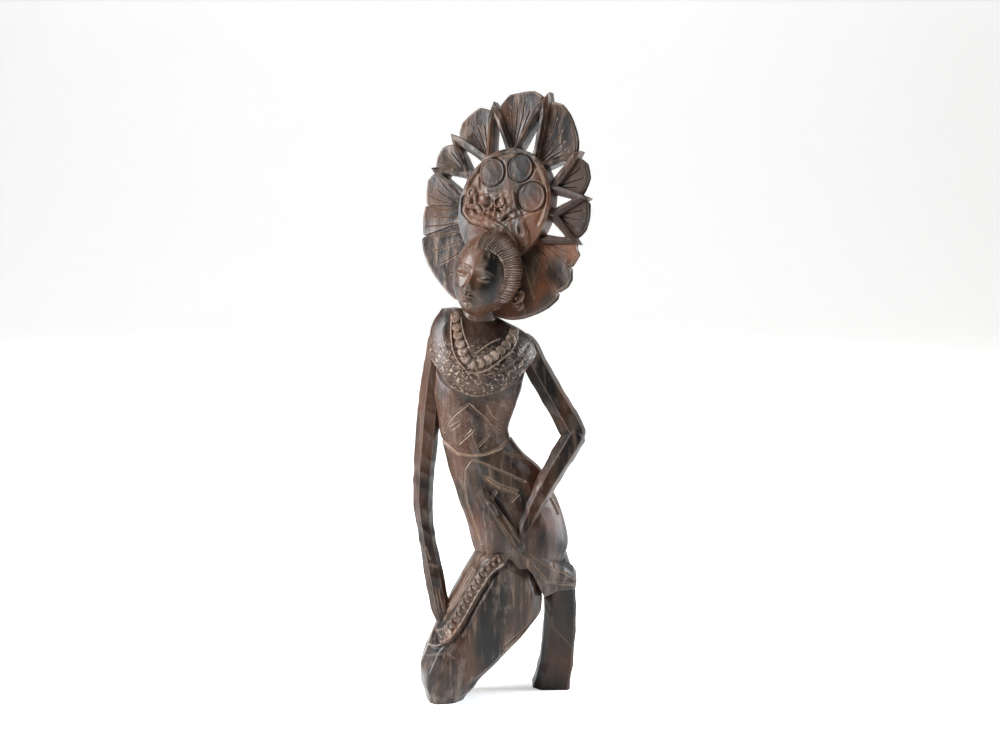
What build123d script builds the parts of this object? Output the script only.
"""Carved hardwood dancer with a pierced fan headdress, about 250 mm tall.

She rests on one folded leg and one straight one, with one arm hanging and one bent to the hip.
The real figure is cut from one billet.  Each carved member is a solid of its own here, and
neighbours meet face to face.  Millimetres, +Z up, she faces -Y, and the floor is z = 0.
"""
from build123d import *
import copy
import math
import os

# ---------------------------------------------------------------- driving sizes
WAIST_Z = 110.0            # narrowest part of the body above the floor
HIP_Z = 70.0               # widest part of the hips
BUST_Z = 127.0             # lowest point of the breast cloth's edge
SHOULDER_Z = 144.0         # widest part of the shoulders
NECK_Z = 156.0             # where the neck leaves the shoulders
BELT_Z = 103.5             # belt groove, in the middle of the body
BELT_RISE = 10.0           # degrees that the belt rises towards her left

SHOULDER_HALF = 22.4       # half breadths and half depths of the body
BUST_HALF = 18.4
WAIST_HALF = 14.4
HIP_HALF = 20.4
CHEST_DEPTH = 12.4
WAIST_DEPTH = 9.4
HIP_DEPTH = 14.5

UPPER_ARM_R = 4.6          # half breadths of the limbs
FOREARM_R = 4.0
HAND_R = 3.0
KNEE_BREADTH = 21.0        # folded leg, across its front
THIGH_BREADTH = 39.0
FOLDED_LEG_DEPTH = 24.0
KNEE_END = (-28.0, -2.0)   # x and z of the ridge line's ends on the folded leg
LAP_END = (6.8, 64.9)
LEG_BREADTH = 14.0         # straight leg, a block with one bevelled edge
LEG_DEPTH = 18.4
LEG_BEVEL = 4.0

HEAD_HALF = (12.4, 13.0, 16.6)      # half breadth, half depth, half height
HEAD_CENTRE = (-6.8, -8.0, 175.9)
HEAD_TURN = 24.0           # degrees that the face is turned to her right
HEAD_LEAN = 14.0           # degrees that the head leans to her left
HAIR_THICK = 1.8
NECK_R = 7.4
EAR_DROP_R = 3.0

FAN_CENTRE = (2.4, 2.0, 203.0)
FAN_TURN = 25.0
FAN_LEAN = 22.0
SPEAR_THICK = 6.0          # pierced leaves, the proudest of the fan
LEAF_THICK = 3.6           # ribbed leaves, set back from the pierced ones
LEAF_SETBACK = 2.0
SPEAR_HALF = 6.4           # half breadth of a pierced leaf at its foot
SPEAR_ARM = 1.9            # wood beside its hole
SHIELD_HALF = (19.4, 23.6)  # oval shield in the middle of the fan
SHIELD_RISE = 3.2
FLOWER_R = 5.6
RELIEF = 0.7               # height of bands, beads and flowers above what carries them


# ---------------------------------------------------------------- small helpers
def stack(rows, grow=0.0):
    """Lofts level ellipses, given as x, y, z, half breadth and half depth, into one solid."""
    return loft([Pos(x, y, z) * Ellipse(a + grow, b + grow) for x, y, z, a, b in rows])


def limb(rows):
    """Lofts ellipses square to a path, given as x, y, z, half breadth and half depth."""
    points = [Vector(*row[:3]) for row in rows]
    sections = []
    for i, (here, row) in enumerate(zip(points, rows)):
        along = points[min(i + 1, len(points) - 1)] - points[max(i - 1, 0)]
        across = along.cross(Vector(0, 1, 0)).normalized()
        plane = Plane(origin=here, x_dir=across, z_dir=along.normalized())
        sections.append(plane * Ellipse(row[3], row[4]))
    return loft(sections)


def biggest(shape):
    """The largest solid of a cut, so that no loose sliver stays with it."""
    return max(shape.solids(), key=lambda s: s.volume)


def seat(shape, *neighbours):
    """Trims a member back to the faces of the members that it is carved against."""
    for other in neighbours:
        shape = shape - other
    return biggest(shape)


def front_prism(points):
    """A prism right through the figure, from an outline of x and z."""
    return extrude(Plane.XZ * make_face(Polyline(*points, close=True)), amount=60, both=True)


def turned_plane(origin, lean, turn):
    """A plane that faces the front, leaning to her left and turned to her right."""
    t, p = math.radians(lean), math.radians(turn)
    side = Vector(math.cos(t) * math.cos(p), -math.sin(p), -math.sin(t) * math.cos(p))
    up = Vector(math.sin(t), 0, math.cos(t))
    return Plane(origin=origin, x_dir=side, z_dir=side.cross(up))


# ---------------------------------------------------------------- head
head_plane = turned_plane(HEAD_CENTRE, HEAD_LEAN, HEAD_TURN)


def head_egg(grow=0.0, offset=(0, 0, 0)):
    """An egg on the head's own axes; offset is across, up and forward."""
    a, b, c = (half + grow for half in HEAD_HALF)
    ball = revolve(make_face(Polyline((0, -c), (0, c)) + CenterArc((0, 0), c, -90, 180)), Axis.Y)
    return head_plane * (Pos(*offset) * scale(ball, by=(a / c, 1.0, b / c)))


head = biggest(head_egg())

# ---------------------------------------------------------------- trunk
TRUNK = [
    (8.6, 1.5, HIP_Z - 14, HIP_HALF - 3.0, HIP_DEPTH - 1.0),
    (8.2, 1.5, HIP_Z - 6, HIP_HALF - 0.4, HIP_DEPTH),
    (6.5, 1.5, HIP_Z + 4, HIP_HALF, HIP_DEPTH),
    (2.2, 1.0, HIP_Z + 15, HIP_HALF - 0.2, HIP_DEPTH - 1.5),
    (-2.4, 0.4, HIP_Z + 26, HIP_HALF - 1.6, HIP_DEPTH - 3.4),
    (-7.4, 0.2, BELT_Z + 0.5, WAIST_HALF + 1.2, WAIST_DEPTH + 0.6),
    (-10.3, 0.0, WAIST_Z, WAIST_HALF, WAIST_DEPTH),
    (-10.1, 0.0, WAIST_Z + 9, WAIST_HALF + 1.8, WAIST_DEPTH + 0.5),
    (-9.2, 0.0, BUST_Z + 1, BUST_HALF - 0.2, WAIST_DEPTH + 1.0),
    (-8.2, 0.0, BUST_Z + 8, BUST_HALF + 0.2, WAIST_DEPTH + 1.0),
    (-7.9, 0.0, BUST_Z + 16, BUST_HALF + 1.0, WAIST_DEPTH + 1.0),
]
CHEST = [
    (-9.0, -1.2, BUST_Z - 2, BUST_HALF - 0.2, CHEST_DEPTH - 0.6),
    (-7.9, -1.8, BUST_Z + 7, BUST_HALF + 1.8, CHEST_DEPTH),
    (-6.9, -1.4, SHOULDER_Z - 2, SHOULDER_HALF - 0.4, CHEST_DEPTH),
    (-7.0, -0.8, SHOULDER_Z + 3, SHOULDER_HALF - 0.6, CHEST_DEPTH - 1.4),
    (-9.4, -0.2, SHOULDER_Z + 9, SHOULDER_HALF * 0.85, CHEST_DEPTH - 3.0),
    (-13.2, 0.2, SHOULDER_Z + 14, SHOULDER_HALF * 0.62, CHEST_DEPTH - 5.0),
    (-19.2, 0.4, SHOULDER_Z + 18, SHOULDER_HALF * 0.26, CHEST_DEPTH - 8.4),
]


def above_breast_edge():
    """Everything above the breast cloth's edge, which hangs as one arc from armpit to armpit."""
    edge = ThreePointArc((-28, BUST_Z + 16), (-8, BUST_Z), (18.5, BUST_Z + 20))
    rest = Polyline((18.5, BUST_Z + 20), (60, BUST_Z + 20), (60, 260), (-60, 260), (-60, BUST_Z + 16),
                    (-28, BUST_Z + 16))
    return extrude(Plane.XZ * make_face(edge + rest), amount=60, both=True)


breast_region = above_breast_edge()
chest = seat(stack(CHEST) & breast_region, head)
trunk = stack(TRUNK)
belt_plane = Plane(Pos(-9, 0, BELT_Z) * Rot(0, -BELT_RISE, 0))
belly = seat(split(trunk, belt_plane, keep=Keep.TOP), breast_region, chest)
hips = biggest(split(trunk, belt_plane, keep=Keep.BOTTOM))

necklace_region = front_prism([(-20.6, 162), (-19.6, 147), (-13.6, 138), (-5, 137.4), (4.8, 145), (7.6, 152),
                               (4.4, 154), (0, 149.6), (-9.4, 143.6), (-12.4, 144.6), (-15.4, 152), (-15.6, 160)])
in_front = Pos(0, -30, 150) * Box(120, 60, 400)

# ---------------------------------------------------------------- legs and sash
above_floor = Pos(0, 0, 150) * Box(200, 200, 300)
STRAIGHT_LEG = [  # middle x, middle y, z, change of breadth, change of depth
    (21.3, 13.8, 0.0, 1.9, 0.0),
    (23.8, 13.6, 11.0, 0.2, -0.4),
    (24.8, 13.2, 22.0, -0.2, -0.2),
    (25.2, 11.6, 38.0, -0.6, 2.0),
    (24.0, 9.6, 48.0, -1.6, 3.0),
    (20.6, 7.4, 60.0, -2.6, 2.0),
]


def block_section(x, y, z, half_x, half_y):
    """A level rectangle whose front edge on the inner side is bevelled."""
    points = [(-half_x, half_y), (-half_x, LEG_BEVEL - half_y), (LEG_BEVEL - half_x, -half_y),
              (half_x, -half_y), (half_x, half_y)]
    return Pos(x, y, z) * make_face(Polyline(*points, close=True))


knee_end, lap_end = Vector(KNEE_END[0], 0, KNEE_END[1]), Vector(LAP_END[0], 0, LAP_END[1])
ridge_along = (lap_end - knee_end).normalized()


def folded_leg(grow=0.0):
    """Thigh and shin as one folded mass: straight facets on both sides of a ridge down its front."""
    across = ridge_along.cross(Vector(0, -1, 0))
    knee_half, hip_half = KNEE_BREADTH / 2 + grow, THIGH_BREADTH / 2 + grow
    ridge, back = -FOLDED_LEG_DEPTH * 0.74 - grow, FOLDED_LEG_DEPTH * 0.26 + grow
    knee = [(-knee_half - 2, -8.5 - grow), (-knee_half + 2, ridge + 3.4), (0, ridge), (knee_half - 5, ridge + 2.2),
            (knee_half - 1, ridge + 6), (knee_half - 1, back - 3), (knee_half - 6, back), (-knee_half - 2, back)]
    hip = [(6.6 - hip_half, -4 - grow), (8 - hip_half, ridge + 6.4), (0, ridge + 3), (hip_half - 4, ridge + 5),
           (hip_half + 5, ridge + 9), (hip_half + 5, back - 3), (hip_half - 8, back), (6.6 - hip_half, back)]
    sections = []
    for points, place in ((knee, knee_end), (hip, lap_end)):
        plane = Plane(origin=place, x_dir=across, z_dir=ridge_along)
        sections.append(plane * make_face(Polyline(*points, close=True)))
    return loft(sections, ruled=True)


def below_knee_cap():
    """What is cut away to round the knee, seen from the front."""
    edge = Polyline((-28, -1), (-50, -1), (-50, 16), (-34.2, 16)) + ThreePointArc((-34.2, 16), (-32.8, 7), (-28, -1))
    return extrude(Plane.XZ * make_face(edge), amount=60, both=True)


sash_region = front_prism([(3.6, 67.6), (8.2, 66.4), (14.4, 63), (19.7, 59.2), (25.9, 56.7), (29.6, 53.7), (31.7, 50.4),
                           (31.8, 47.4), (31.0, 45.3), (26.8, 46.2), (20.6, 45.3), (18.6, 39.6), (12.3, 55.9)])
above_lap = front_prism([(-20, 66), (-8.5, 63.2), (-6.1, 59.6), (-3.3, 58.4), (2, 62), (8.2, 66.4), (40, 66), (40, 120),
                         (-20, 120)])
sash = seat(sash_region & (Pos(18, -1.5, 55) * Box(40, 21, 60)), hips)
leg_sections = [block_section(x, y, z, (LEG_BREADTH + a) / 2, (LEG_DEPTH + b) / 2) for x, y, z, a, b in STRAIGHT_LEG]
left_leg = seat(loft(leg_sections, ruled=True), hips, sash)
cap_cut = below_knee_cap()
leg_mass = seat(folded_leg() & above_floor, above_lap, hips, sash_region, left_leg, cap_cut)
ridge_plane = Plane(origin=lap_end, x_dir=(0, 1, 0), z_dir=(-ridge_along.Z, 0, ridge_along.X))
right_thigh = biggest(split(leg_mass, ridge_plane, keep=Keep.TOP))
right_shin = biggest(split(leg_mass, ridge_plane, keep=Keep.BOTTOM))
hem_region = front_prism([(1.6, 57), (-17.6, 21.4), (-34, 27.4), (-32.4, 32), (-19.4, 29.4), (-4.6, 57)])
hem_band = seat(folded_leg(RELIEF) & hem_region & in_front & above_floor, leg_mass, above_lap, hips, sash_region, cap_cut)

# ---------------------------------------------------------------- shield, hair and neck
fan_plane = turned_plane(FAN_CENTRE, FAN_LEAN, FAN_TURN)
rear = -LEAF_SETBACK - LEAF_THICK
shield_outline = Ellipse(*SHIELD_HALF)
shield_blank = extrude(fan_plane.offset(rear) * shield_outline, amount=SHIELD_RISE - rear)
crown_shield = seat(shield_blank, head)
hair_blank = head_egg(HAIR_THICK, (3.2, 0.4, -2.6))
face_opening = head_plane * (Pos(-1, -5, -1) * extrude(Ellipse(15.5, 16.6), amount=40))
below_ears = head_plane * (Pos(0, -32, 0) * Box(80, 40, 80))
hair = seat(hair_blank, head, shield_blank, face_opening, below_ears)
NECK = [
    (-10.6, 0.0, NECK_Z - 8, NECK_R + 2.6, NECK_R + 0.2),
    (-9.0, -1.0, NECK_Z, NECK_R, NECK_R - 0.4),
    (-8.0, -1.8, NECK_Z + 8, NECK_R - 1.0, NECK_R - 1.0),
    (-7.4, -2.0, NECK_Z + 14, NECK_R - 1.6, NECK_R - 1.0),
]
neck = seat(stack(NECK), head, hair, chest)
necklace = seat(stack(CHEST, RELIEF) & necklace_region & in_front, chest, neck)

# ---------------------------------------------------------------- arms
HANGING_ARM = [
    (-24.8, 1.0, 152.0, UPPER_ARM_R - 0.8, UPPER_ARM_R),
    (-27.2, 1.4, 138.0, UPPER_ARM_R - 0.4, UPPER_ARM_R + 0.4),
    (-29.8, 1.2, 118.0, UPPER_ARM_R, UPPER_ARM_R + 0.6),
    (-31.2, 0.4, 98.0, UPPER_ARM_R - 0.2, UPPER_ARM_R),
    (-31.9, -0.6, 81.5, UPPER_ARM_R - 0.6, UPPER_ARM_R - 0.4),
]
HANGING_FOREARM = [
    (-31.9, -0.6, 81.5, UPPER_ARM_R - 0.6, UPPER_ARM_R - 0.4),
    (-30.4, -2.0, 68.0, FOREARM_R - 0.6, FOREARM_R - 0.2),
    (-27.9, -3.8, 54.0, FOREARM_R - 0.1, FOREARM_R - 0.4),
]
HANGING_HAND = [
    (-27.9, -3.8, 54.0, FOREARM_R - 0.1, FOREARM_R - 0.4),
    (-25.9, -5.0, 44.0, FOREARM_R + 0.1, FOREARM_R - 0.8),
    (-24.6, -6.4, 33.5, FOREARM_R - 0.6, HAND_R - 0.6),
]
BENT_ARM = [
    (11.0, 0.4, 146.0, UPPER_ARM_R - 0.2, UPPER_ARM_R + 0.6),
    (14.8, 0.2, 137.0, UPPER_ARM_R + 0.2, UPPER_ARM_R + 0.6),
    (22.0, 0.0, 124.2, UPPER_ARM_R + 0.6, UPPER_ARM_R + 0.4),
    (30.0, -0.6, 109.4, UPPER_ARM_R + 0.7, UPPER_ARM_R),
]
BENT_FOREARM = [
    (31.2, -0.8, 111.8, UPPER_ARM_R - 0.4, UPPER_ARM_R - 0.6),
    (25.8, -2.6, 101.4, FOREARM_R + 1.2, FOREARM_R + 0.6),
    (19.2, -6.4, 90.6, FOREARM_R + 0.4, FOREARM_R),
    (13.2, -10.6, 79.4, FOREARM_R - 0.6, FOREARM_R - 0.6),
    (8.0, -13.4, 68.4, FOREARM_R - 1.8, FOREARM_R - 1.6),
]
BENT_HAND = [
    (8.2, -15.0, 65.8, HAND_R - 0.6, HAND_R - 0.8),
    (4.4, -15.0, 71.6, HAND_R - 0.2, HAND_R - 0.6),
    (-1.2, -14.0, 80.0, HAND_R - 0.6, HAND_R - 1.2),
    (-6.0, -12.4, 88.6, HAND_R - 1.4, HAND_R - 1.8),
]
right_upper_arm = seat(limb(HANGING_ARM), chest, belly, hips)
right_forearm = seat(limb(HANGING_FOREARM), right_upper_arm, hips, leg_mass)
right_hand = seat(limb(HANGING_HAND), right_forearm, leg_mass, hem_band)
left_upper_arm = seat(limb(BENT_ARM), chest, belly, hips, necklace)
left_forearm = seat(limb(BENT_FOREARM), left_upper_arm, belly, hips, sash)
left_hand = seat(limb(BENT_HAND), left_forearm, belly, hips, sash, leg_mass, hem_band)

# ---------------------------------------------------------------- fan headdress
SPEARS = [  # pierced leaves: angle clockwise from the top, radius of the tip, radius of its hole
    (-87, 38.6, 32.2), (-63, 40.0, 33.0), (-32, 43.6, 35.8), (-2, 49.2, 38.4),
    (33, 38.2, 31.5), (63, 35.4, 28.6), (94, 35.2, 29.0),
]
RIBBED = [  # ribbed leaves: angle where each starts, where it ends, and its rim as angle and radius
    (-87, -63, [(-85, 37.0), (-79, 38.7), (-73, 39.0), (-67, 37.0)]),
    (-63, -32, [(-59, 37.8), (-54, 40.8), (-49, 42.0), (-41, 43.0), (-35, 40.7)]),
    (-32, -2, [(-28, 41.8), (-23, 45.5), (-16, 46.8), (-10, 47.8), (-4.5, 46.3)]),
    (-2, 33, [(0, 45.8), (5.5, 46.6), (10.5, 45.0), (18, 41.8), (24.5, 39.4), (29, 37.2)]),
    (33, 63, [(35.5, 35.9), (41, 37.4), (50, 36.3), (56, 33.6)]),
    (63, 94, [(66, 34.7), (77, 35.1), (84, 34.8), (89, 33.6)]),
    (94, 110, [(98, 34.7), (100, 36.7), (109, 37.1)]),
    (110, 125.5, [(110.5, 38.7), (114.5, 40.9), (119, 41.9), (124.5, 41.6)]),
    (125.5, 166, [(126.5, 43.3), (134, 44.8), (140, 45.3), (148, 46.0), (156, 46.1)]),
    (-111, -87, [(-110, 36.5), (-104, 37.3), (-95, 38.3), (-91, 37.0)]),
    (-130, -111, [(-129, 39.4), (-117, 38.2), (-111.5, 37.2)]),
    (-176, -130, [(-171, 44.1), (-164, 43.4), (-157, 42.9), (-147, 42.5), (-138, 41.7), (-131, 40.4)]),
]


def polar(radius, degrees):
    """A point of the fan: radius from its middle, angle clockwise from its top."""
    angle = math.radians(degrees)
    return (radius * math.sin(angle), radius * math.cos(angle))


def spear(angle, tip, hole_tip):
    """A pointed leaf with a triangular hole that narrows towards the back."""
    foot = min(SHIELD_HALF)
    half = SPEAR_HALF - SPEAR_ARM
    outline = make_face(Polyline((-SPEAR_HALF, foot - 1), (-SPEAR_HALF, foot + 3), (-2.6, tip - 6), (0, tip),
                                 (2.6, tip - 6), (SPEAR_HALF, foot + 3), (SPEAR_HALF, foot - 1), close=True))
    front = make_face(Polyline((-half, foot + 1), (0, hole_tip), (half, foot + 1), close=True))
    behind = make_face(Polyline((1.2 - half, foot + 1), (0, hole_tip - 2.4), (half - 1.2, foot + 1), close=True))
    at_back = fan_plane.offset(-SPEAR_THICK)
    turn = Rot(0, 0, -angle)
    body = extrude(at_back * (turn * outline), amount=SPEAR_THICK)
    return body - loft([at_back * (turn * behind), fan_plane * (turn * front)])


def ribbed_leaf(first, last, rim):
    """A thinner leaf with a rounded rim that fills the sector between two radii."""
    root = min(SHIELD_HALF) - 5
    points = [polar(radius, angle) for angle, radius in rim]
    outline = Spline(*points) + Polyline(points[-1], polar(root, last), polar(root, first), points[0])
    return extrude(fan_plane.offset(rear) * make_face(outline), amount=LEAF_THICK)


def on_shield(outline, rise=RELIEF):
    """A raised ornament on the shield's face, from its outline on the fan."""
    return extrude(fan_plane.offset(SHIELD_RISE) * outline, amount=rise)


shield_hole = extrude(fan_plane.offset(-40) * shield_outline, amount=80)
spears = []
for row in SPEARS:
    spears.append(seat(spear(*row), shield_hole, *spears))
leaves = []
for row in RIBBED:
    leaves.append(seat(ribbed_leaf(*row), shield_hole, hair_blank, head, neck, chest, *spears, *leaves))

FLOWERS = [(-10.0, 10.4), (1.0, 16.4), (10.2, 7.6)]
flowers = [on_shield(Pos(*place) * Circle(FLOWER_R), 2 * RELIEF) for place in FLOWERS]
crown_ring = on_shield(Pos(-1.7, 0.6) * (Circle(2.9) - Circle(1.3)), 2 * RELIEF)
crown_knob = on_shield(Pos(-8.3, -0.6) * Ellipse(2.9, 2.4), 2 * RELIEF)
crown_slit_leaf = on_shield(Pos(-15.2, -0.4) * (Ellipse(2.2, 3.4) - Ellipse(0.5, 2.2)))
crown_thin_leaf = on_shield(Pos(4.2, 3.6) * Rot(0, 0, 40) * Ellipse(1.1, 4.4))
crown_drop_leaf = on_shield(Pos(11.6, -6.6) * Rot(0, 0, 38) * (Ellipse(3.2, 6.0) - Ellipse(0.8, 2.4)))
crown_scroll = on_shield(make_face(Spline((-15.8, -4.6), (-14.4, -8.2), (-6.4, -7.2)) + Spline(
    (-6.4, -7.2), (-9, -4.4), (-15.8, -4.6))))
trim = [hair_blank, head, *flowers]
ornaments = {"crown_ring": crown_ring, "crown_knob": crown_knob, "crown_slit_leaf": crown_slit_leaf,
             "crown_thin_leaf": crown_thin_leaf, "crown_drop_leaf": crown_drop_leaf, "crown_scroll": crown_scroll}
ear_drop = seat(Pos(6.2, -7.6, 164.4) * Sphere(EAR_DROP_R), head, hair, neck, chest, necklace, *leaves)

parts = {
    "chest": chest, "belly": belly, "hips": hips, "necklace": necklace, "sash_end": sash, "hem_band": hem_band,
    "right_thigh": right_thigh, "right_shin": right_shin, "left_leg": left_leg,
    "right_upper_arm": right_upper_arm, "right_forearm": right_forearm, "right_hand": right_hand,
    "left_upper_arm": left_upper_arm, "left_forearm": left_forearm, "left_hand": left_hand,
    "head": head, "neck": neck, "hair": hair, "ear_drop": ear_drop, "crown_shield": crown_shield,
}
for name, piece in ornaments.items():
    parts[name] = seat(piece, *trim)
for number, piece in enumerate(flowers, 1):
    parts[f"crown_flower_{number}"] = biggest(piece)
for number, piece in enumerate(spears, 1):
    parts[f"pierced_leaf_{number}"] = piece
for number, piece in enumerate(leaves, 1):
    parts[f"ribbed_leaf_{number}"] = piece

# ---------------------------------------------------------------- place on the origin and write
box = Compound([copy.copy(piece) for piece in parts.values()]).bounding_box()
to_origin = Pos(-box.center().X, -box.center().Y, -box.min.Z)
print("middle", box.center(), "size", box.size)
os.makedirs("parts", exist_ok=True)
for name, piece in parts.items():
    export_step(to_origin * piece, f"parts/{name}.step")
